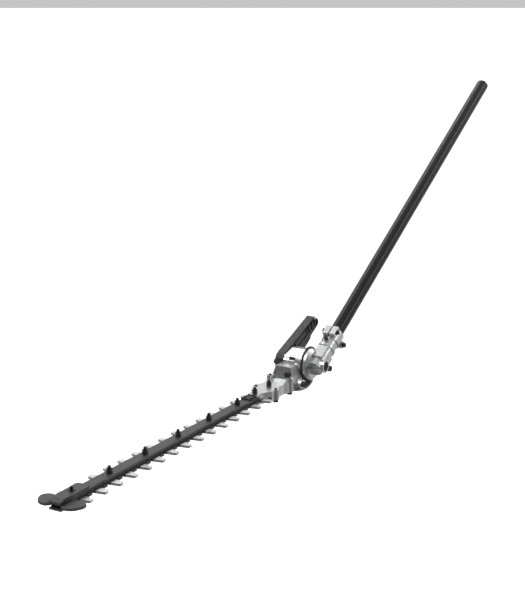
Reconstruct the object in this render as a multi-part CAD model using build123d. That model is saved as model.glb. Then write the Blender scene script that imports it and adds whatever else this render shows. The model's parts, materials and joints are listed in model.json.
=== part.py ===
from build123d import *
import math
import os

# Articulated hedge trimmer attachment, in millimetres.
# The model is worked out about the articulation pivot: X runs from the cutter's tip towards the
# gearcase, Y is the pivot axis, Z is up. Every piece is then moved so that the origin is the
# free end of the shaft tube.

# ---- driving dimensions ----
TILT = 30.0                # shaft above the cutter, degrees
SHAFT_Y = -38.0            # the shaft lies this far beside the cutter's centre plane
TUBE_R, TUBE_BORE_R = 13.0, 11.0
TUBE_START, TUBE_END = 40.0, 900.0
TUBE_MARK = TUBE_END - 61.2
DRIVE_STUB = 12.0          # the drive shaft stands this far out of the tube
DRIVE_R = 4.0
BORE_GAP = 0.05            # radial running clearance

HUB_R, HUB_Y0, HUB_Y1 = 29.6, -33.0, -22.6
HUB_CHAMFER = 4.8
SEAL_R = 32.0
BOSS_R, BOSS_Y0 = 12.0, -56.5
NECK_R, COLLAR_R = 15.4, 16.8
SPIGOT_R, SPIGOT_BORE_R, SPIGOT_END = 12.0, 8.6, -11.0
PLATE_R, PLATE_Y0, PLATE_Y1 = 27.0, -24.6, -20.4

BLOCK_R, BLOCK_Y0, BLOCK_Y1 = 30.8, -20.1, 15.8
BLOCK_STEP_Y = -8.0        # the block is boxy on the handle side of this, round beyond it
BLOCK_ROOM_R, COVER_R, COVER_Y = 20.0, 21.0, 13.9
CRANK_X, CRANK_ROOM_R = -42.0, 23.7
NOSE_TOP, CASE_SPLIT, CASE_BOTTOM = -15.4, -25.25, -34.2
BASE_PLATE_TOP = -32.3
CASE_SCREWS = [(x, y) for x in (-120.0, -70.0) for y in (-20.0, 20.0)]
PILLAR_TOP = -8.5          # the two rear case-screw pillars stand this high
FACE_SCREW = (-60.6, -11.5, -5.5)
SIDE_BOSS_X, SIDE_BOSS_Z, SIDE_BOSS_R, SIDE_BOSS_Y = -44.3, -25.4, 8.6, -33.0
WINDOW_TILT, WINDOW_FLOOR = 41.7, 25.4

NUT_PITCH, NUT_COUNT, FIRST_NUT_X = 90.0, 5, -576.0
NOSE_NUTS_X = (-158.0, -109.0)
GUARD_NUT_X = FIRST_NUT_X - 88.0
BAR_HALF, BAR_TOP, BAR_BOTTOM = 10.3, -19.1, -25.1
BAR_X0, BAR_X1 = -690.0, -104.0
UPPER_BLADE = (-27.2, -25.3)
LOWER_BLADE = (-29.3, -27.4)
STROKE = 8.0               # each blade moves this far either way
TOOTH_PITCH, TEETH, FIRST_TOOTH_X = 36.0, 15, -658.0
TOOTH_REACH = 30.0
BUSH_R = 3.5
# the second bevel mesh is opened: its gear stands off the apex
OUTPUT_OPEN, OUTPUT_TOOTH = 2.4, 0.9
CRANK_PINION_TEETH, CRANK_GEAR_TEETH, CRANK_MODULE = 10, 30, 1.0
CRANK_PINION_R = CRANK_PINION_TEETH * CRANK_MODULE / 2
CRANK_GEAR_R = CRANK_GEAR_TEETH * CRANK_MODULE / 2
PINION_TEETH, CROSS_TEETH, UPPER_MODULE = 12, 16, 1.5
PINION_R, CROSS_R = PINION_TEETH * UPPER_MODULE / 2, CROSS_TEETH * UPPER_MODULE / 2
DISC_R, ECC = 12.8, STROKE
UPPER_ROD = (-24.7, -21.0)
LOWER_ROD = (-32.2, -29.9)
ROD_END_X, ROD_HALF = -80.0, 3.0
SLOT_R = BUSH_R + 0.3
BLADE_TAIL_X = -92.0

HANDLE_TILT = 20.6
HANDLE_Y0, HANDLE_Y1, HANDLE_FRONT_X = 16.1, 32.0, -31.2
HANDLE_BOLTS = [(-26.0, 3.0), (26.0, 3.0)]
PIN_U, PIN_N, PIN_R = 15.0, 18.0, 2.0

HOME = Location((
    -TUBE_END * math.cos(math.radians(TILT)),
    -SHAFT_Y,
    -TUBE_END * math.sin(math.radians(TILT)),
))

os.makedirs("parts", exist_ok=True)


# ---- helpers ----
def save(node, *solids):
    """Write one node, moved to the shaft-end origin."""
    shape = solids[0] if len(solids) == 1 else Compound(children=list(solids))
    export_step(shape.moved(HOME), "parts/" + node + ".step")


def solid(shape):
    """The largest solid of a shape, free of any stray sliver."""
    return max(shape.solids(), key=lambda s: s.volume)


def zcyl(r, z0, z1, x=0.0, y=0.0):
    return Pos(x, y, (z0 + z1) / 2) * Cylinder(r, z1 - z0)


def ycyl(r, y0, y1, x=0.0, z=0.0):
    return Pos(x, (y0 + y1) / 2, z) * Rot(90, 0, 0) * Cylinder(r, y1 - y0)


def xcyl(r, x0, x1, y=0.0, z=0.0):
    return Pos((x0 + x1) / 2, y, z) * Rot(0, 90, 0) * Cylinder(r, x1 - x0)


def block(x0, x1, y0, y1, z0, z1):
    return Pos((x0 + x1) / 2, (y0 + y1) / 2, (z0 + z1) / 2) * Box(x1 - x0, y1 - y0, z1 - z0)


def polar(r, angle):
    return (r * math.cos(math.radians(angle)), r * math.sin(math.radians(angle)))


COS_T, SIN_T = polar(1.0, TILT)
SHAFT = Plane(origin=(0, SHAFT_Y, 0), x_dir=(-SIN_T, 0, COS_T), z_dir=(COS_T, 0, SIN_T)).location
# In SHAFT, local X is square to the tube and upward, local Y is world -Y, local Z runs up the tube.


def scyl(r, s0, s1, n=0.0, side=0.0):
    """Cylinder along the shaft from s0 to s1, offset n upward and side towards -Y."""
    return SHAFT * zcyl(r, s0, s1, n, side)


def s_to_world(s, n):
    """World X and Z of a point s along the shaft and n above it."""
    return (s * COS_T - n * SIN_T, s * SIN_T + n * COS_T)


HANDLE = Plane(
    origin=(0, 0, 0),
    x_dir=(math.cos(math.radians(HANDLE_TILT)), 0, math.sin(math.radians(HANDLE_TILT))),
    z_dir=(0, 1, 0),
).location
# In HANDLE, local X is u along the handle, local Y is minus n, local Z is world Y.


def hbox(u0, u1, n0, n1, y0, y1):
    return HANDLE * block(u0, u1, -n1, -n0, y0, y1)


def handle_to_world(u, n):
    c, s = polar(1.0, HANDLE_TILT)
    return (u * c - n * s, u * s + n * c)


PIN_X, PIN_Z = handle_to_world(PIN_U, PIN_N)
PIN_RADIUS = math.hypot(PIN_X, PIN_Z)
PIN_ANGLE = math.degrees(math.atan2(PIN_Z, PIN_X))


def hex_nut(across, z0, z1, x=0.0, y=0.0):
    prism = extrude(RegularPolygon(across / 2, 6, major_radius=False), z1 - z0)
    return Pos(x, y, z0) * prism


def bevel_gear(teeth, cone_r, apex_dist, face, tooth_h, half_pitch_fill, hub_r, hub_len, phase):
    """Bevel gear about +Z with its cone apex at the origin.

    The outer pitch circle has radius cone_r at height apex_dist; teeth run towards the apex
    over the fraction face of the cone. The hub carries on away from the apex.
    """
    slant = math.hypot(cone_r, apex_dist)
    out_r, out_z = cone_r / slant, apex_dist / slant

    def section(scale):
        half = math.pi * cone_r / teeth * half_pitch_fill * scale
        low, high = -1.25 * tooth_h * scale, tooth_h * scale
        centre = (cone_r * scale, 0, apex_dist * scale)
        face_plane = Plane(origin=centre, x_dir=(out_z, 0, -out_r), z_dir=(out_r, 0, out_z))
        tooth = Polygon(
            (low, -half * 1.35), (high, -half * 0.55), (high, half * 0.55), (low, half * 1.35), align=None
        )
        return face_plane * tooth

    tooth = loft([section(1.0), section(1.0 - face)])
    drop = 1.0 * tooth_h
    root = Polyline(
        (0, apex_dist * (1 - face) + drop * out_r),
        (cone_r * (1 - face) - drop * out_z, apex_dist * (1 - face) + drop * out_r),
        (cone_r - drop * out_z, apex_dist + drop * out_r),
        (hub_r, apex_dist + drop * out_r + 1.5),
        (hub_r, apex_dist + hub_len),
        (0, apex_dist + hub_len),
        close=True,
    )
    gear = revolve(Plane.XZ * make_face(root), Axis.Z)
    for i in range(teeth):
        gear += Rot(0, 0, phase + 360.0 * i / teeth) * tooth
    return gear


def prism(points, z0, z1):
    """Upright prism over a plan outline."""
    return Pos(0, 0, z0) * extrude(make_face(Polyline(*points, close=True)), z1 - z0, dir=(0, 0, 1))


# ---- shaft unit ----
def shaft_tube():
    tube = scyl(TUBE_R, TUBE_START, TUBE_END) - scyl(TUBE_BORE_R, TUBE_START - 1, TUBE_END + 1)
    # a shallow line marks how deep the tube goes into its clamp
    mark = scyl(TUBE_R + 1, TUBE_MARK, TUBE_MARK + 1.2) - scyl(TUBE_R - 0.3, TUBE_MARK, TUBE_MARK + 1.2)
    save("shaft_tube", solid(tube - mark))


def shaft_bushes():
    places = (180.0, 410.0, 640.0, 868.0)
    save("shaft_bushes", *[
        scyl(TUBE_BORE_R, s, s + 26) - scyl(DRIVE_R + BORE_GAP, s - 1, s + 27) for s in places
    ])


EAR_BOLT_X, EAR_BOLT_Z = s_to_world(72.0, 16.7)
LOW_BOLT_X, LOW_BOLT_Z = s_to_world(76.0, -19.5)
PLUG_X, PLUG_Y, PLUG_Z = 23.7, -49.5, -11.0
HUB_SCREW = (-24.2, 0.6)
LOCATE_S = 51.0


def upper_housing():
    hub = ycyl(HUB_R, HUB_Y0, HUB_Y1)
    hub = chamfer(hub.edges().group_by(Axis.Y)[0], HUB_CHAMFER)
    body = hub + ycyl(BOSS_R, BOSS_Y0, HUB_Y0 + 2)
    body += scyl(NECK_R, -11, 62)
    body += scyl(NECK_R + 1.4, 38, 44)
    body += scyl(COLLAR_R, 58, 83)
    body += SHAFT * block(8, 21.5, -12.5, 12.5, 62, 82)
    body += ycyl(7.0, -52, -26, LOW_BOLT_X, LOW_BOLT_Z)
    body += ycyl(5.9, PLUG_Y, -28, PLUG_X, PLUG_Z)
    body += SHAFT * (Pos(16.0, 0, LOCATE_S) * Rot(0, 90, 0) * Cylinder(5.5, 5))
    # web from the hub to the neck
    body += SHAFT * block(-17.5, 18, -8, 11.3, 6, 34)
    body = body & block(-60, 140, -60, HUB_Y1, -60, 120) + (body & block(28, 140, -60, -18, -60, 120))
    # hollows
    body -= scyl(TUBE_R, TUBE_START, 90)
    body -= scyl(12.0, -7.5, TUBE_START + 1)
    # room for the cross gear, closed at the front by the hub's wall
    body -= ycyl(19.5, -29.6, HUB_Y1 + 1)
    body -= ycyl(13.4, -31.4, -29.5)
    body -= ycyl(11.0, -32.9, -31.3)
    body -= ycyl(PLATE_R, PLATE_Y0, HUB_Y1 + 1)
    body -= ycyl(8.0, BOSS_Y0 + 2.5, -30)
    body -= ycyl(9.2, BOSS_Y0 - 1, BOSS_Y0 + 2.5)
    body -= SHAFT * block(5, 30, -1.1, 1.1, 57, 90)
    body -= ycyl(2.0, -60, -32.6, *HUB_SCREW)
    body -= ycyl(2.5, -60, -10, EAR_BOLT_X, EAR_BOLT_Z)
    body -= ycyl(4.6, -60, SHAFT_Y - 11.5, EAR_BOLT_X, EAR_BOLT_Z)
    body -= ycyl(2.5, -60, -27, LOW_BOLT_X, LOW_BOLT_Z)
    body -= ycyl(2.5, -60, PLUG_Y + 9.0, PLUG_X, PLUG_Z)
    body -= ycyl(1.2, -40, -30, *HUB_SCREW)
    body -= SHAFT * (Pos(14.0, 0, LOCATE_S) * Rot(0, 90, 0) * Cylinder(2.0, 14))
    save("upper_housing", solid(body))


def pivot_seal():
    save("pivot_seal", ycyl(SEAL_R, HUB_Y1, -20.4) - ycyl(PLATE_R, HUB_Y1 - 1, -19))


def index_plate():
    plate = ycyl(PLATE_R, PLATE_Y0, PLATE_Y1) - ycyl(SPIGOT_R, PLATE_Y0 - 1, PLATE_Y1 + 1)
    for step in range(-4, 6):
        x, z = polar(PIN_RADIUS, PIN_ANGLE + 15.0 * step)
        plate -= ycyl(PIN_R + 0.25, PLATE_Y0 - 1, PLATE_Y1 + 1, x, z)
    save("index_plate", plate)


def pivot_spigot():
    flange = ycyl(19.0, -27.6, PLATE_Y0) + ycyl(SPIGOT_R, -27.6, SPIGOT_END)
    save("pivot_spigot", flange - ycyl(SPIGOT_BORE_R, -28, 0) - ycyl(15.0, -28, -25.6))


def pivot_ring_nut():
    save("pivot_ring_nut", ycyl(15.5, SPIGOT_END - 2.8, SPIGOT_END - 0.1) - ycyl(SPIGOT_R, -20, 0))


def cross_shaft_bearings():
    outer = ycyl(8.0, -53.5, -46.5) - ycyl(5.0 + BORE_GAP, -54, -46)
    inner = ycyl(SPIGOT_BORE_R, -22.0, -14.0) - ycyl(5.0 + BORE_GAP, -23, -13)
    save("cross_shaft_bearings", outer, inner)


def input_bearings():
    save("input_bearings", *[
        scyl(12.0, s, s + 7) - scyl(5.0 + BORE_GAP, s - 1, s + 8) for s in (21.0, 31.0)
    ])


def boss_cap():
    cap = ycyl(9.2, BOSS_Y0 + 1.0, BOSS_Y0 + 2.4) - ycyl(4.0, BOSS_Y0, BOSS_Y0 + 1.8)
    save("boss_cap", cap)


def socket_screw_y(head_r, head_h, shank_r, y_face, length, x, z):
    """Socket head screw along Y with its head on the -Y side of y_face."""
    head = ycyl(head_r, y_face - head_h, y_face, x, z)
    socket = Pos(x, y_face - head_h, z) * Rot(-90, 0, 0) * extrude(RegularPolygon(head_r * 0.5, 6), 2.0)
    return head + ycyl(shank_r, y_face, y_face + length, x, z) - socket


def clamp_hardware():
    ear = socket_screw_y(4.3, 4.5, 2.5, SHAFT_Y - 11.5, 26.0, EAR_BOLT_X, EAR_BOLT_Z)
    low = socket_screw_y(4.3, 5.0, 2.5, -52.0, 24.0, LOW_BOLT_X, LOW_BOLT_Z)
    save("clamp_screws", ear, low)
    nut = Pos(EAR_BOLT_X, SHAFT_Y + 12.5, EAR_BOLT_Z) * Rot(-90, 0, 0) * extrude(
        RegularPolygon(4.0, 6, major_radius=False), 3.5
    )
    nut -= ycyl(2.5, SHAFT_Y + 12, SHAFT_Y + 17, EAR_BOLT_X, EAR_BOLT_Z)
    save("clamp_nut", nut)


def locating_screw():
    screw = SHAFT * (Pos(21.5, 0, LOCATE_S) * Rot(0, 90, 0) * Cylinder(3.8, 4.0))
    screw += SHAFT * (Pos(17.0, 0, LOCATE_S) * Rot(0, 90, 0) * Cylinder(2.0, 6.0))
    save("locating_screw", screw)


def plug_screw():
    plug = socket_screw_y(5.2, 5.0, 2.5, PLUG_Y, 9.0, PLUG_X, PLUG_Z)
    x, z = HUB_SCREW
    save("plug_screw", plug, ycyl(2.0, -34.6, -32.6, x, z) + ycyl(1.2, -32.6, -30.0, x, z))


# ---- drive shaft and bevel gears ----
def drive_shaft():
    end = TUBE_END + DRIVE_STUB
    shaft = scyl(DRIVE_R, 38.5, TUBE_END - 3.0)
    shaft += scyl(3.5, TUBE_END - 3.0, TUBE_END)
    shaft += scyl(DRIVE_R, TUBE_END, end)
    # square socket for the power head's drive
    shaft -= SHAFT * block(-1.6, 1.6, -1.6, 1.6, end - 9.0, end + 1)
    save("drive_shaft", solid(shaft))


def input_pinion():
    gear = bevel_gear(PINION_TEETH, PINION_R, CROSS_R, 0.32, 1.2, 0.36, 5.0, 26.5, 0.0)
    # local +Y is world -Y, so the tooth at phase 90 + half a pitch leaves a gap facing world +Y
    gear = Rot(0, 0, -90 + 180.0 / PINION_TEETH) * gear
    save("input_pinion", solid(SHAFT * gear))


def cross_gears():
    """The cross shaft's driven gear, and the gear that drives the pinion shaft."""
    toward_y = Plane(origin=(0, SHAFT_Y, 0), x_dir=(COS_T, 0, SIN_T), z_dir=(0, 1, 0)).location
    gear = bevel_gear(CROSS_TEETH, CROSS_R, PINION_R, 0.32, 1.2, 0.36, 8.0, 6.5, 0.0)
    gear = toward_y * gear - ycyl(5.0, -60, 20)
    save("cross_gear", solid(gear))
    save("cross_shaft", ycyl(5.0, -53.0, 14.6))
    out = Plane(origin=(0, OUTPUT_OPEN, 0), x_dir=(-1, 0, 0), z_dir=(0, 1, 0)).location
    phase = 180.0 / CROSS_TEETH
    gear = bevel_gear(CROSS_TEETH, CROSS_R, PINION_R, 0.3, OUTPUT_TOOTH, 0.36, 7.5, 2.3, phase)
    gear = out * gear - ycyl(5.0, -60, 20)
    save("output_gear", solid(gear))


# ---- gearcase ----
def tapered_room():
    """Walls of the gear room between nose and block, narrower at the top."""
    low = Pos(-39.5, 0, NOSE_TOP) * Rectangle(47, 43)
    high = Pos(-38.0, 0, 7.0) * Rectangle(41, 30)
    return loft([low, high])


NOSE_OUTLINE = [
    (-167, -9), (-154, -11), (-134, -21), (-112, -22), (-100, -18.5), (-88, -19), (-76, -23), (-40, -25),
]


def y_prism(outline, y0, y1):
    """Prism along Y over an outline given as X and Z pairs."""
    face = make_face(Polyline(*[(x, -z) for x, z in outline], close=True))
    return Pos(0, y0, 0) * Rot(-90, 0, 0) * extrude(face, y1 - y0, dir=(0, 0, 1))


BLOCK_BOX = [(-30.3, -20), (-30.3, 10.5), (-23, 18.7), (0, 25.8), (12, 25.8), (23, 20.6), (23, -20)]
BLOCK_ROOF = [(-60, -60), (-60, 7.2), (0, 25.8), (12, 25.8), (60, 3), (60, -60)]
BASE_PLATE = [
    (-64, -26), (-58, -33), (-50, -37), (-40, -38.3), (-30, -37.2), (-17, -34.4), (-5, -31),
    (7, -26.6), (20, -20.2), (27, -12), (29.5, 0),
]


def pivot_block():
    """Boxy towards the handle, round towards the seal, under one sloping roof."""
    shape = ycyl(BLOCK_R, BLOCK_Y0, BLOCK_Y1) & y_prism(BLOCK_ROOF, -30, 30)
    return shape + y_prism(BLOCK_BOX, BLOCK_STEP_Y, BLOCK_Y1)


def case_body():
    nose_points = NOSE_OUTLINE + [(x, -y) for x, y in reversed(NOSE_OUTLINE)]
    nose = prism(nose_points, CASE_BOTTOM, NOSE_TOP)
    body = nose + zcyl(26.6, CASE_BOTTOM, NOSE_TOP, CRANK_X)
    body += pivot_block()
    body += tapered_room()
    body += block(CRANK_X, -12, BLOCK_Y0, 22, CASE_BOTTOM, -18)
    for x, y in CASE_SCREWS:
        body += zcyl(6.4, CASE_BOTTOM, PILLAR_TOP if x > -100 else NOSE_TOP, x, y)
    # clear of the upper housing's hub and of the handle's base
    body -= ycyl(SEAL_R + 0.6, -60, BLOCK_Y0)
    body -= block(HANDLE_FRONT_X - 0.4, 60, BLOCK_Y1, 60, -3.6, 60)
    plate = BASE_PLATE + [(x, -y) for x, y in reversed(BASE_PLATE[:-1])]
    body += prism(plate, CASE_BOTTOM, BASE_PLATE_TOP)
    body += ycyl(SIDE_BOSS_R, SIDE_BOSS_Y, -20, SIDE_BOSS_X, SIDE_BOSS_Z)
    return body


def case_hollows(body):
    """The same hollows for both halves: gear room, crank room, rods, blades and bores."""
    body -= ycyl(BLOCK_ROOM_R, SPIGOT_END - 3.0, COVER_Y)
    body -= ycyl(COVER_R, COVER_Y, 20)
    body -= ycyl(SPIGOT_R + BORE_GAP, -21, -13)
    body -= xcyl(6.5, -58, -15)
    body -= zcyl(16.4, -12.2, 1.5, CRANK_X)
    body -= zcyl(8.0, -19.8, 4.0, CRANK_X)
    body -= zcyl(CRANK_ROOM_R, -32.7, -19.8, CRANK_X)
    body -= zcyl(CRANK_ROOM_R + 0.5, -32.7, -29.6, CRANK_X)
    body -= block(-106, CRANK_X, -11.6, 11.6, -32.7, -19.8)
    body -= block(-170, -90, -BAR_HALF, BAR_HALF, BAR_BOTTOM, BAR_TOP)
    body -= block(-170, -80, -10.2, 10.2, -29.5, BAR_BOTTOM)
    body -= ycyl(PIN_R + BORE_GAP, -22, 16, PIN_X, PIN_Z)
    body -= window_room()
    for x, z in HANDLE_BOLTS:
        body -= ycyl(2.2, 7.0, 40, x, z)
    for x in NOSE_NUTS_X:
        body -= zcyl(2.5, -40, 0, x)
    for x, y in CASE_SCREWS:
        body -= zcyl(2.5, -40, 0, x, y)
    x, y, z = FACE_SCREW
    body -= xcyl(5.0, x - 8.0, x - 1.0, y, z)
    body -= xcyl(2.5, x - 1.0, x + 6.0, y, z)
    body -= ycyl(2.5, SIDE_BOSS_Y - 1, SIDE_BOSS_Y + 6.0, SIDE_BOSS_X, SIDE_BOSS_Z)
    return body


def window_box(outer):
    """A box in the block's sloping front face, from the window's floor out to outer."""
    return Rot(0, WINDOW_TILT, 0) * block(-outer, -WINDOW_FLOOR, -8.2, 4.6, -11.8, -1.8)


def window_room():
    return window_box(WINDOW_FLOOR + 5.0)


def window_plug():
    save("window_plug", window_box(WINDOW_FLOOR + 3.2))


def gearcase():
    full = case_body()
    low = case_hollows(full & block(-200, 60, -60, 60, -60, CASE_SPLIT - 0.1))
    top = case_hollows(full & block(-200, 60, -60, 60, CASE_SPLIT, 60))
    low -= block(-180, -135.5, -40, 40, -29.6, CASE_SPLIT)
    low -= block(-166.6, -162.0, -9.8, 9.8, -32.6, -29)
    save("gearcase_top", solid(top))
    save("gearcase_bottom", solid(low))


def block_cover():
    cover = ycyl(COVER_R, COVER_Y, BLOCK_Y1) - ycyl(5.0 + BORE_GAP, 12, 14.9)
    save("block_cover", cover)


def z_screw(x, y):
    """Case screw: head under the case, end showing at the top."""
    head = zcyl(4.8, CASE_BOTTOM - 4.2, CASE_BOTTOM, x, y)
    top = PILLAR_TOP if x > -100 else NOSE_TOP
    return head + zcyl(2.5, CASE_BOTTOM, top + 1.6, x, y)


def case_screws():
    save("case_screws", *[z_screw(x, y) for x, y in CASE_SCREWS])
    x, y, z = FACE_SCREW
    face = xcyl(4.8, x - 6.0, x - 1.0, y, z) + xcyl(2.5, x - 1.0, x + 6.0, y, z)
    side = socket_screw_y(5.0, 4.0, 2.5, SIDE_BOSS_Y, 6.0, SIDE_BOSS_X, SIDE_BOSS_Z)
    save("side_screws", face, side)


def output_train():
    toward_x = Plane(origin=(0, 0, 0), x_dir=(0, 1, 0), z_dir=(-1, 0, 0)).location
    gear = bevel_gear(PINION_TEETH, PINION_R, CROSS_R, 0.3, OUTPUT_TOOTH, 0.36, 7.0, 5.5, 0.0)
    save("pinion_shaft_gear", solid(toward_x * gear - xcyl(3.5, -60, 10)))
    save("pinion_shaft", xcyl(3.5, -26.0, -8.4))
    toward_crank = Plane(origin=(CRANK_X, 0, 0), x_dir=(0, 0, -1), z_dir=(1, 0, 0)).location
    teeth, cone_r, apex_dist = CRANK_PINION_TEETH, CRANK_PINION_R, CRANK_GEAR_R
    pinion = toward_crank * bevel_gear(teeth, cone_r, apex_dist, 0.28, 0.8, 0.34, 3.5, 2.6, 0.0)
    save("crank_pinion", solid(pinion - xcyl(3.5, -26.0, 0)))


def crank():
    down = Plane(origin=(CRANK_X, 0, 0), x_dir=(1, 0, 0), z_dir=(0, 0, -1)).location
    teeth, cone_r, apex_dist = CRANK_GEAR_TEETH, CRANK_GEAR_R, CRANK_PINION_R
    gear = bevel_gear(teeth, cone_r, apex_dist, 0.28, 0.8, 0.34, 12.0, 6.5, 180.0 / teeth)
    save("crank_gear", solid(down * gear - zcyl(4.5, -30, 5, CRANK_X)))
    shaft = zcyl(4.5, -21.5, 3.6, CRANK_X)
    shaft += zcyl(DISC_R, UPPER_ROD[0], UPPER_ROD[1], CRANK_X, ECC)
    shaft += zcyl(4.0, -30.0, -24.0, CRANK_X)
    shaft += zcyl(DISC_R, LOWER_ROD[0], LOWER_ROD[1], CRANK_X, -ECC)
    save("crankshaft", shaft)
    lower = zcyl(8.0, -19.4, -14.0, CRANK_X) - zcyl(4.5 + BORE_GAP, -20, -13, CRANK_X)
    upper = zcyl(8.0, 1.6, 3.9, CRANK_X) - zcyl(4.5 + BORE_GAP, 1, 5, CRANK_X)
    save("crank_bearings", lower, upper)


def rod(node, side, z0, z1):
    """Rod with a ring round its eccentric and a short arm towards the blade's tail."""
    y = side * ECC
    body = zcyl(DISC_R + 2.3, z0, z1, CRANK_X, y)
    body += block(ROD_END_X, CRANK_X - 8, y - ROD_HALF, y + ROD_HALF, z0, z1)
    body += zcyl(ROD_HALF, z0, z1, ROD_END_X, y)
    body -= zcyl(DISC_R + 0.08, z0 - 1, z1 + 1, CRANK_X, y)
    save(node, solid(body))


def felt_wiper():
    """Wiper at the nose's mouth, under the lower blade."""
    save("felt_wiper", block(-166.6, -162.0, -9.8, 9.8, -32.6, -29.6))


# ---- handle, latch and lock pin ----
HANDLE_OUTLINE = [
    (-6, 27), (56, 27), (107, 27.4), (113, 22), (118, 12), (115, 4.8),
    (83.6, 0.6), (77.4, -4.5), (54.8, -7.8), (24, -15), (10, -15), (-6, 0),
]
HANDLE_BASE = [
    (HANDLE_FRONT_X, -3.2), (HANDLE_FRONT_X, 6), (-30.6, 12), (-27.5, 17), (-20.5, 21.1),
    (6, 31.1), (24, 24), (32, 12), (32.5, -3.2),
]


def handle():
    face = make_face(Polyline(*[(u, -n) for u, n in HANDLE_OUTLINE], close=True))
    body = HANDLE * (Pos(0, 0, HANDLE_Y0) * extrude(face, HANDLE_Y1 - HANDLE_Y0))
    body += y_prism(HANDLE_BASE, HANDLE_Y0, HANDLE_Y1)
    body = body & block(-60, 160, 0, 60, -3.2, 120)
    body -= hbox(8, 114, 9.2, 25.6, 16, 22.2)
    body -= hbox(-4, 28, 9.2, 25.6, 16, 30.6)
    for x, z in HANDLE_BOLTS:
        body -= ycyl(2.2, 10, 40, x, z)
    save("handle", solid(body))
    save("handle_bolts", *[
        ycyl(3.9, HANDLE_Y1, HANDLE_Y1 + 4, x, z) + ycyl(2.2, 7.0, HANDLE_Y1, x, z)
        for x, z in HANDLE_BOLTS
    ])


SLIDER_N0, SLIDER_N1 = 11.6, 23.4
PRONGS_N = ((11.0, 14.4), (21.6, 24.6))
RIBS = ((69.5, 73.0), (79.4, 84.8), (91.6, 96.8), (102.6, 105.0))


def latch_slider():
    body = hbox(20, 105, SLIDER_N0, SLIDER_N1, 16.3, 21.9)
    ramp_outline = [(7, 16.3), (7, 28), (9.5, 28), (23.0, 21.2), (23.0, 16.3)]
    for n0, n1 in PRONGS_N:
        body += hbox(6, 26, n0, n1, 16.3, 21.9)
        # the ramp is drawn in u and Y, and extruded along n
        ramp = extrude(make_face(Polyline(*ramp_outline, close=True)), n1 - n0)
        body += HANDLE * (Pos(0, -n0, 0) * Rot(90, 0, 0) * ramp)
    body -= hbox(RIBS[0][0], 105, SLIDER_N0, SLIDER_N1, 16, 19.2)
    for u0, u1 in RIBS:
        body += hbox(u0, u1, SLIDER_N0, SLIDER_N1, 14.4, 19.2)
    body -= HANDLE * (Pos(PIN_U - 4, -PIN_N, 0) * block(-6, 15.5, -3.6, 3.6, 10, 40))
    save("latch_slider", solid(body))


def lock_pin():
    tip = BLOCK_Y0 - 0.1
    pin = ycyl(PIN_R, tip, 29.8, PIN_X, PIN_Z) + ycyl(4.0, 27.2, 28.6, PIN_X, PIN_Z)
    save("lock_pin", pin)


def latch_spring():
    """Return spring, drawn as a plain rod in the slider's channel."""
    save("latch_spring", HANDLE * (Pos(109.4, -18.0, 19.4) * Rot(0, 90, 0) * Cylinder(2.0, 8.8)))


# ---- cutter ----
def stud_places():
    return [FIRST_NUT_X + NUT_PITCH * i for i in range(NUT_COUNT)]


def blade(node, z0, z1):
    """Flat blade: a spine with slots for the bushes, teeth both sides and short stubs between."""
    spine_end = FIRST_TOOTH_X - 14.0
    plate = block(spine_end, BLADE_TAIL_X, -9.6, 9.6, z0, z1)
    half = [
        (-8.0, 8.5), (-6.6, 15.0), (-4.2, 28.2), (-2.6, TOOTH_REACH), (3.6, TOOTH_REACH),
        (5.4, 27.6), (7.4, 16.0), (9.0, 8.5),
    ]
    stub = [(-7.0, 8.5), (-4.6, 14.4), (4.6, 14.4), (7.0, 8.5)]
    teeth = []
    for side in (-1, 1):
        for i in range(TEETH):
            x = FIRST_TOOTH_X + TOOTH_PITCH * i
            teeth.append(prism([(x + a, side * b) for a, b in half], z0, z1))
            if i < TEETH - 1:
                x += TOOTH_PITCH / 2
                teeth.append(prism([(x + a, side * b) for a, b in stub], z0, z1))
    plate += teeth
    for x in stud_places() + list(NOSE_NUTS_X) + [GUARD_NUT_X]:
        slot = block(x - STROKE, x + STROKE, -SLOT_R, SLOT_R, z0 - 1, z1 + 1)
        slot += zcyl(SLOT_R, z0 - 1, z1 + 1, x - STROKE) + zcyl(SLOT_R, z0 - 1, z1 + 1, x + STROKE)
        plate -= slot
    save(node, solid(plate))


def guide_bar():
    bar = block(BAR_X0, BAR_X1, -BAR_HALF, BAR_HALF, BAR_BOTTOM, BAR_TOP)
    bar = chamfer(bar.edges().filter_by(Axis.X).group_by(Axis.Z)[-1], 1.2)
    for x in stud_places() + list(NOSE_NUTS_X) + [GUARD_NUT_X]:
        bar -= zcyl(2.5, -30, -10, x)
    save("guide_bar", bar)


def bar_clip():
    clip = block(-188, -167.5, -BAR_HALF, BAR_HALF, BAR_TOP, -16.9)
    clip += zcyl(3.0, -16.9, -15.4, -180, 6.2) + zcyl(3.0, -16.9, -15.4, -180, -6.2)
    save("bar_clip", clip)


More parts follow.
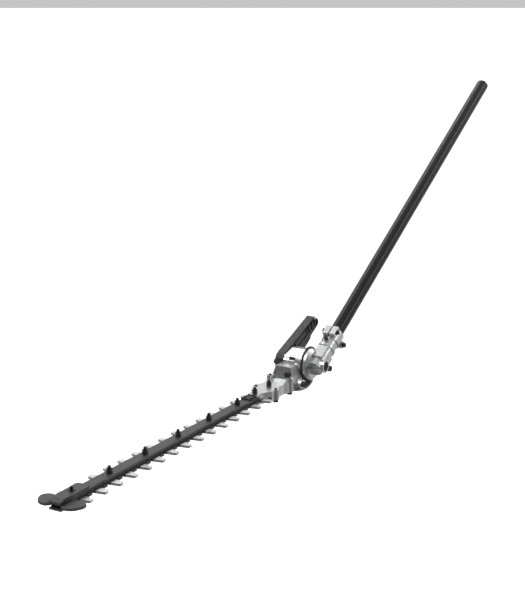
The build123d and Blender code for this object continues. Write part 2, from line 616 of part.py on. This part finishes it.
def cutter_fasteners():
    places = stud_places()
    nose = list(NOSE_NUTS_X)
    studs = [zcyl(2.5, -32.8, -7.6, x) + zcyl(5.4, -32.8, -29.9, x) for x in places]
    for x in nose:
        studs.append(zcyl(2.5, CASE_BOTTOM, -4.6, x) + zcyl(4.4, CASE_BOTTOM - 3.0, CASE_BOTTOM, x))
    save("bar_studs", *studs)
    nuts = [hex_nut(8.0, BAR_TOP, BAR_TOP + 7.4, x) - zcyl(2.5, -40, 0, x) for x in places]
    nuts += [hex_nut(8.0, NOSE_TOP, NOSE_TOP + 7.0, x) - zcyl(2.5, -40, 0, x) for x in nose]
    save("bar_nuts", *nuts)
    bushes = [zcyl(BUSH_R, -29.7, BAR_BOTTOM, x) - zcyl(2.5, -40, 0, x) for x in places]
    bushes += [zcyl(BUSH_R, -29.5, BAR_BOTTOM, x) - zcyl(2.5, -40, 0, x) for x in nose]
    save("stud_bushes", *bushes)
    guard_bush = zcyl(BUSH_R, -29.7, BAR_BOTTOM, GUARD_NUT_X) - zcyl(2.5, -40, 0, GUARD_NUT_X)
    save("guard_bush", guard_bush)


GUARD_BODY = [(-702, -9.4), (-700.6, -10.6), (-642, -11.4), (-636, -9.6)]
GUARD_TOP, GUARD_PLATE_Z, GUARD_FOOT = -15.0, -18.9, (-31.6, -29.7)
WING_Z = (-26.2, -22.0)
WING = [
    (-691.5, -9), (-701, -9.6), (-705.6, -15), (-705.2, -23), (-702, -30), (-695, -35.8), (-687, -39.2),
    (-679.6, -38.2), (-674.4, -33), (-672.6, -27), (-674.6, -16.6), (-676.6, -10.5), (-691.5, -10.5),
]


def tip_guard():
    """Nose guard with two flat wings, held by the foremost screw."""
    body_pts = GUARD_BODY + [(x, -y) for x, y in reversed(GUARD_BODY)]
    body = prism(body_pts, GUARD_PLATE_Z, GUARD_TOP)
    body += prism(body_pts, *GUARD_FOOT)
    nose = block(-702, -691, -10.2, 10.2, GUARD_FOOT[0], GUARD_TOP - 0.2)
    body += nose - block(-703, -697, -11, 11, -28.6, -22.5)
    # the nose slopes down at the front
    body -= y_prism([(-710, -18.6), (-702, -18.6), (-691, -14.9), (-691, 0), (-710, 0)], -20, 20)
    wing = prism(WING, *WING_Z)
    wing = chamfer(wing.edges().group_by(Axis.Z)[-1], 0.8)
    body += [wing, mirror(wing, about=Plane.XZ)]
    body -= zcyl(2.5, -60, 0, GUARD_NUT_X)
    body -= zcyl(5.0, GUARD_TOP - 2.0, -10, GUARD_NUT_X)
    save("tip_guard", solid(body))
    screw = zcyl(2.5, -34.2, -8.6, GUARD_NUT_X) + zcyl(4.4, -34.2, GUARD_FOOT[0], GUARD_NUT_X)
    screw += zcyl(4.2, GUARD_TOP - 2.0, GUARD_TOP + 0.6, GUARD_NUT_X)
    save("guard_screw", screw)


shaft_tube()
shaft_bushes()
upper_housing()
pivot_seal()
index_plate()
pivot_spigot()
pivot_ring_nut()
cross_shaft_bearings()
input_bearings()
boss_cap()
clamp_hardware()
locating_screw()
plug_screw()
drive_shaft()
input_pinion()
cross_gears()
gearcase()
block_cover()
window_plug()
case_screws()
output_train()
crank()
rod("upper_rod", 1, *UPPER_ROD)
rod("lower_rod", -1, *LOWER_ROD)
felt_wiper()
handle()
latch_slider()
lock_pin()
latch_spring()
blade("upper_blade", *UPPER_BLADE)
blade("lower_blade", *LOWER_BLADE)
guide_bar()
bar_clip()
cutter_fasteners()
tip_guard()
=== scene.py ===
import json
import math

import bmesh
import bpy
from mathutils import Matrix, Vector


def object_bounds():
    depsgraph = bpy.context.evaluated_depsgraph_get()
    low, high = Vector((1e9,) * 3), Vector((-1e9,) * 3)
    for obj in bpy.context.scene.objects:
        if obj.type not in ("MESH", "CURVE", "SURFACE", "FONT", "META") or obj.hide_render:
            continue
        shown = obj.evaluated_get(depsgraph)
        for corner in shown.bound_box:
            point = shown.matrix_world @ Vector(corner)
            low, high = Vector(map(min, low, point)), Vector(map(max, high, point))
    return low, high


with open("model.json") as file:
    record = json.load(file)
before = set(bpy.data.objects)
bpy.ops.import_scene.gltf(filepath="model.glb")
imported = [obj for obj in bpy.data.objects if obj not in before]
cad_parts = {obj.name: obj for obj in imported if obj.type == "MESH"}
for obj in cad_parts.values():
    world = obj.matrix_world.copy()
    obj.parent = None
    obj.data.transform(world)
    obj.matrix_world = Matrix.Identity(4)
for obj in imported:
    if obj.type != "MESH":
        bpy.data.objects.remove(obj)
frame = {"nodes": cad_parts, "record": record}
cad_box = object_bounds()
nodes = frame["nodes"]

# The part's own layout, in metres. The origin is the shaft tube's free end; the pivot is the
# articulation axis where the shaft's axis meets it.
TILT = math.radians(30.0)
SHAFT_LENGTH = 0.900
PIVOT = Vector((-SHAFT_LENGTH * math.cos(TILT), 0.038, -SHAFT_LENGTH * math.sin(TILT)))


# ---------------------------------------------------------------- materials
def fill_ramp(node, stops):
    """Give a colour ramp node its stops, each a place and a colour."""
    elements = node.color_ramp.elements
    while len(elements) < len(stops):
        elements.new(0.5)
    for element, (place, colour) in zip(elements, stops):
        element.position = place
        element.color = (*colour, 1.0)


class Nodes:
    """A small helper that adds shader nodes and links them."""

    def __init__(self, name, base, rough, metallic=0.0):
        self.mat = bpy.data.materials.new(name)
        self.mat.use_nodes = True
        self.tree = self.mat.node_tree
        self.shader = self.tree.nodes["Principled BSDF"]
        self.shader.inputs["Base Color"].default_value = (*base, 1.0)
        self.shader.inputs["Roughness"].default_value = rough
        self.shader.inputs["Metallic"].default_value = metallic
        self.coords = self.add("ShaderNodeTexCoord").outputs["Object"]

    def add(self, kind, **inputs):
        node = self.tree.nodes.new(kind)
        for key, value in inputs.items():
            self.set(node, key.replace("_", " "), value)
        return node

    def set(self, node, key, value):
        socket = node.inputs[key]
        if hasattr(value, "is_output"):
            self.tree.links.new(value, socket)
        else:
            socket.default_value = value

    def noise(self, scale, detail=4.0, rough=0.6, vector=None):
        node = self.add("ShaderNodeTexNoise", Scale=scale, Detail=detail, Roughness=rough)
        self.set(node, "Vector", vector or self.coords)
        return node.outputs["Fac"]

    def stretched(self, scale):
        node = self.add("ShaderNodeMapping", Vector=self.coords)
        node.inputs["Scale"].default_value = scale
        return node.outputs["Vector"]

    def ramp(self, fac, stops):
        node = self.add("ShaderNodeValToRGB", Fac=fac)
        fill_ramp(node, stops)
        return node.outputs["Color"]

    def grey(self, fac, low, high, start=0.3, end=0.7):
        """Numbers low to high while fac runs from start to end, for roughness and masks."""
        node = self.add("ShaderNodeMapRange", Value=fac)
        node.inputs["From Min"].default_value = start
        node.inputs["From Max"].default_value = end
        node.inputs["To Min"].default_value = low
        node.inputs["To Max"].default_value = high
        return node.outputs["Result"]

    def mix(self, fac, a, b):
        node = self.tree.nodes.new("ShaderNodeMix")
        node.data_type = "RGBA"
        self.set_at(node, 0, fac)
        self.set_at(node, 6, a)
        self.set_at(node, 7, b)
        return node.outputs[2]

    def set_at(self, node, index, value):
        if hasattr(value, "is_output"):
            self.tree.links.new(value, node.inputs[index])
        elif isinstance(value, tuple) and len(value) == 3:
            node.inputs[index].default_value = (*value, 1.0)
        else:
            node.inputs[index].default_value = value

    def edges(self, amount, low=0.50, high=0.56):
        """Mask of worn convex edges."""
        point = self.add("ShaderNodeNewGeometry").outputs["Pointiness"]
        return self.grey(point, 0.0, amount, low, high)

    def math(self, operation, a, b=0.0):
        node = self.tree.nodes.new("ShaderNodeMath")
        node.operation = operation
        self.set_at(node, 0, a)
        self.set_at(node, 1, b)
        return node.outputs[0]

    def colour(self, value):
        self.set(self.shader, "Base Color", value)

    def rough(self, value):
        self.set(self.shader, "Roughness", value)

    def bump(self, height, strength, distance):
        node = self.add("ShaderNodeBump", Height=height)
        node.inputs["Strength"].default_value = strength
        node.inputs["Distance"].default_value = distance
        self.set(self.shader, "Normal", node.outputs["Normal"])


def cast_aluminium():
    m = Nodes("cast_aluminium", (0.64, 0.64, 0.635), 0.3, 0.95)
    grain = m.noise(1400.0, 3.0)
    cloud = m.noise(38.0, 5.0)
    m.colour(m.ramp(cloud, [(0.25, (0.58, 0.585, 0.59)), (0.75, (0.70, 0.70, 0.695))]))
    m.rough(m.grey(grain, 0.24, 0.36))
    m.bump(grain, 0.20, 0.0004)
    return m.mat


def black_tube():
    m = Nodes("black_tube", (0.010, 0.010, 0.011), 0.25)
    m.shader.inputs["Specular IOR Level"].default_value = 0.32
    cloud = m.noise(9.0, 6.0)
    fine = m.noise(900.0, 2.0)
    m.colour(m.ramp(cloud, [(0.3, (0.004, 0.004, 0.0045)), (0.7, (0.007, 0.007, 0.0075))]))
    m.rough(m.grey(fine, 0.18, 0.28))
    m.bump(fine, 0.06, 0.0002)
    return m.mat


def black_plastic():
    m = Nodes("black_plastic", (0.02, 0.02, 0.021), 0.5)
    grain = m.noise(1700.0, 2.0)
    cloud = m.noise(30.0, 4.0)
    m.shader.inputs["Specular IOR Level"].default_value = 0.5
    base = m.ramp(cloud, [(0.3, (0.010, 0.010, 0.011)), (0.7, (0.018, 0.018, 0.019))])
    m.colour(m.mix(m.edges(0.5), base, (0.06, 0.06, 0.062)))
    m.rough(m.grey(grain, 0.42, 0.58))
    m.bump(grain, 0.35, 0.0004)
    return m.mat


def powder_coat():
    m = Nodes("powder_coat", (0.02, 0.02, 0.021), 0.42)
    peel = m.noise(650.0, 2.0)
    cloud = m.noise(22.0, 4.0)
    m.shader.inputs["Specular IOR Level"].default_value = 0.35
    base = m.ramp(cloud, [(0.3, (0.006, 0.006, 0.0065)), (0.7, (0.011, 0.011, 0.0115))])
    m.colour(m.mix(m.edges(0.6), base, (0.07, 0.07, 0.072)))
    m.rough(m.grey(peel, 0.34, 0.50))
    m.bump(peel, 0.30, 0.0003)
    return m.mat


def black_oxide():
    m = Nodes("black_oxide", (0.006, 0.006, 0.0065), 0.38)
    m.shader.inputs["Specular IOR Level"].default_value = 0.3
    spots = m.noise(320.0, 4.0)
    base = m.ramp(spots, [(0.35, (0.004, 0.004, 0.0045)), (0.7, (0.009, 0.009, 0.009))])
    m.colour(m.mix(m.edges(0.4), base, (0.04, 0.04, 0.04)))
    m.rough(m.grey(spots, 0.32, 0.52))
    m.bump(spots, 0.12, 0.0002)
    return m.mat


COATED_HALF_WIDTH = (0.0157, 0.0163)     # the coating's edge lies between these


def blade_steel():
    """Ground steel teeth with a black-coated spine; the coating ends along a ragged line."""
    m = Nodes("blade_steel", (0.7, 0.7, 0.7), 0.3, 0.9)
    grind = m.noise(900.0, 2.0, vector=m.stretched((1.0, 0.12, 1.0)))
    split = m.add("ShaderNodeSeparateXYZ", Vector=m.coords).outputs["Y"]
    from_centre = m.math("ABSOLUTE", m.math("SUBTRACT", split, PIVOT.y))
    ragged = m.math("ADD", from_centre, m.math("MULTIPLY", m.noise(160.0, 3.0), 0.0016))
    bare = m.grey(ragged, 0.0, 1.0, *COATED_HALF_WIDTH)
    steel = m.ramp(grind, [(0.3, (0.62, 0.63, 0.64)), (0.7, (0.86, 0.86, 0.86))])
    m.colour(m.mix(bare, (0.035, 0.035, 0.036), steel))
    m.rough(m.grey(grind, 0.22, 0.40))
    m.set(m.shader, "Metallic", m.math("MULTIPLY", bare, 0.9))
    m.bump(grind, 0.10, 0.0002)
    return m.mat


def machined_steel():
    m = Nodes("machined_steel", (0.5, 0.5, 0.5), 0.35, 0.95)
    lines = m.noise(1100.0, 3.0, vector=m.stretched((1.0, 1.0, 0.15)))
    m.colour(m.ramp(lines, [(0.3, (0.42, 0.42, 0.43)), (0.7, (0.60, 0.60, 0.60))]))
    m.rough(m.grey(lines, 0.26, 0.42))
    m.bump(lines, 0.08, 0.0002)
    return m.mat


def rubber():
    m = Nodes("rubber", (0.012, 0.012, 0.012), 0.7)
    grain = m.noise(800.0, 3.0)
    m.colour(m.ramp(grain, [(0.3, (0.009, 0.009, 0.009)), (0.7, (0.018, 0.018, 0.018))]))
    m.rough(m.grey(grain, 0.6, 0.8))
    m.bump(grain, 0.2, 0.0003)
    return m.mat


def felt():
    m = Nodes("felt", (0.25, 0.24, 0.22), 0.95)
    fibre = m.noise(1500.0, 6.0, vector=m.stretched((1.0, 0.3, 1.0)))
    m.colour(m.ramp(fibre, [(0.3, (0.16, 0.155, 0.14)), (0.7, (0.34, 0.33, 0.30))]))
    m.bump(fibre, 0.6, 0.0006)
    return m.mat


SLOT_MATERIALS = {
    "black_tube": black_tube(),
    "cast_aluminium": cast_aluminium(),
    "black_fasteners": black_oxide(),
    "black_plastic": black_plastic(),
    "black_guard": powder_coat(),
    "rubber": rubber(),
    "felt": felt(),
    "ground_steel": blade_steel(),
    "steel": machined_steel(),
}
for part in frame["record"]["subparts"]:
    material = SLOT_MATERIALS[part["material_slot"]]
    target = nodes[part["node"]]
    target.data.materials.clear()
    target.data.materials.append(material)


# ---------------------------------------------------------------- stage
FLOOR_GLOW = 0.62
FLOOR_DROP = 0.72                        # room below for the cutter when it is folded down
FLOOR_HALF_SIZE = 60.0


def stage_floor():
    """A pale floor that glows a little, so that the object's shadows stay faint."""
    low = cad_box[0][2]
    mesh = bpy.data.meshes.new("floor")
    grid = bmesh.new()
    bmesh.ops.create_grid(grid, x_segments=4, y_segments=4, size=FLOOR_HALF_SIZE)
    grid.to_mesh(mesh)
    grid.free()
    floor = bpy.data.objects.new("floor", mesh)
    bpy.context.collection.objects.link(floor)
    floor.location = (-1.0, 0.0, low - FLOOR_DROP)
    m = Nodes("pale_floor", (0.9, 0.9, 0.9), 1.0)
    m.colour(m.ramp(m.noise(3.0), [(0.3, (0.88, 0.88, 0.88)), (0.7, (0.90, 0.90, 0.90))]))
    m.shader.inputs["Specular IOR Level"].default_value = 0.0
    m.shader.inputs["Emission Color"].default_value = (1.0, 1.0, 1.0, 1.0)
    m.shader.inputs["Emission Strength"].default_value = FLOOR_GLOW
    floor.data.materials.append(m.mat)
    floor.visible_glossy = False


STRIP_LENGTH = 3.4
STRIP_DISTANCE = 2.6
SKY_BRIGHTNESS = [                       # from straight down to straight up
    (0.0, 0.42), (0.34, 0.62), (0.50, 0.55), (0.62, 0.85), (0.84, 1.05), (1.0, 1.0),
]
DARK_SIDE = (-0.94, -0.34, 0.0)          # the room is darker in this direction
DARK_SIDE_RANGE = (-0.55, 0.5)
DARK_SIDE_BRIGHTNESS = 0.16


def new_area_lamp(name, size, power):
    light = bpy.data.lights.new(name, "AREA")
    light.shape = "RECTANGLE"
    light.size, light.size_y = size
    light.energy = power
    lamp = bpy.data.objects.new(name, light)
    bpy.context.collection.objects.link(lamp)
    return lamp


def area_light(name, place, target, size, power):
    """A rectangular light at place that points at target."""
    lamp = new_area_lamp(name, size, power)
    lamp.location = place
    lamp.rotation_euler = (Vector(target) - Vector(place)).to_track_quat("-Z", "Y").to_euler()


def strip_light(name, middle, toward, width, power):
    """A narrow light as long as the shaft and more, square to the line from middle to it."""
    lamp = new_area_lamp(name, (STRIP_LENGTH, width), power)
    along = Vector((math.cos(TILT), 0.0, math.sin(TILT)))
    back = toward.normalized()
    across = back.cross(along).normalized()
    along = across.cross(back).normalized()
    turn = Matrix((along, across, back)).transposed()
    lamp.matrix_world = Matrix.Translation(middle + back * STRIP_DISTANCE) @ turn.to_4x4()


def studio_room():
    """A soft grey room: brightest overhead, darker towards the cutter's tip."""
    world = bpy.data.worlds.new("studio")
    world.use_nodes = True
    tree = world.node_tree

    def node(kind, **inputs):
        made = tree.nodes.new(kind)
        for key, value in inputs.items():
            tree.links.new(value, made.inputs[key])
        return made

    def from_to(made, start, end, low, high):
        for key, value in zip(("From Min", "From Max", "To Min", "To Max"), (start, end, low, high)):
            made.inputs[key].default_value = value
        return made.outputs["Result"]

    direction = node("ShaderNodeTexCoord").outputs["Generated"]
    up = node("ShaderNodeSeparateXYZ", Vector=direction).outputs["Z"]
    height = from_to(node("ShaderNodeMapRange", Value=up), -1.0, 1.0, 0.0, 1.0)
    ramp = node("ShaderNodeValToRGB", Fac=height)
    fill_ramp(ramp, [(place, (value, value, value)) for place, value in SKY_BRIGHTNESS])
    side = node("ShaderNodeVectorMath")
    side.operation = "DOT_PRODUCT"
    tree.links.new(direction, side.inputs[0])
    side.inputs[1].default_value = DARK_SIDE
    shade = node("ShaderNodeMapRange", Value=side.outputs["Value"])
    strength = node("ShaderNodeMath")
    strength.operation = "MULTIPLY"
    tree.links.new(ramp.outputs["Color"], strength.inputs[0])
    tree.links.new(from_to(shade, *DARK_SIDE_RANGE, 1.0, DARK_SIDE_BRIGHTNESS), strength.inputs[1])
    background = tree.nodes["Background"]
    tree.links.new(strength.outputs[0], background.inputs["Strength"])
    background.inputs["Color"].default_value = (1.0, 1.0, 1.0, 1.0)
    bpy.context.scene.world = world


def studio_lights():
    area_light("key", PIVOT + Vector((-1.3, 0.9, 2.2)), PIVOT, (1.2, 1.2), 30.0)
    area_light("front", PIVOT + Vector((-1.9, -1.9, 1.0)), PIVOT, (0.5, 1.6), 8.0)
    # two long strips along the shaft, which draw bright lines down the tube
    middle = PIVOT * 0.5
    strip_light("strip_near", middle, Vector((0.388, -0.752, 0.534)), 0.26, 11.0)
    strip_light("strip_far", middle, Vector((0.277, 0.630, 0.726)), 0.20, 9.0)


# ---------------------------------------------------------------- camera
VIEW_DROP = 0.2463                       # radians below the horizon
VIEW_TURN = 0.5293                       # radians from +X towards +Y
CAMERA_FROM_PIVOT = Vector((-1.9906, -1.0875, 0.6873))
LENS_MM, SENSOR_MM = 77.31, 36.0
FARTHEST_SEEN = 60.0


def camera():
    data = bpy.data.cameras.new("photo_view")
    data.lens = LENS_MM
    data.sensor_width = SENSOR_MM
    data.clip_end = FARTHEST_SEEN
    cam = bpy.data.objects.new("photo_view", data)
    bpy.context.collection.objects.link(cam)
    cam.location = PIVOT + CAMERA_FROM_PIVOT
    ahead = Vector((
        math.cos(VIEW_DROP) * math.cos(VIEW_TURN),
        math.cos(VIEW_DROP) * math.sin(VIEW_TURN),
        -math.sin(VIEW_DROP),
    ))
    cam.rotation_euler = ahead.to_track_quat("-Z", "Y").to_euler()
    bpy.context.scene.camera = cam


stage_floor()
studio_room()
studio_lights()
camera()
bpy.context.scene.view_settings.view_transform = "Standard"
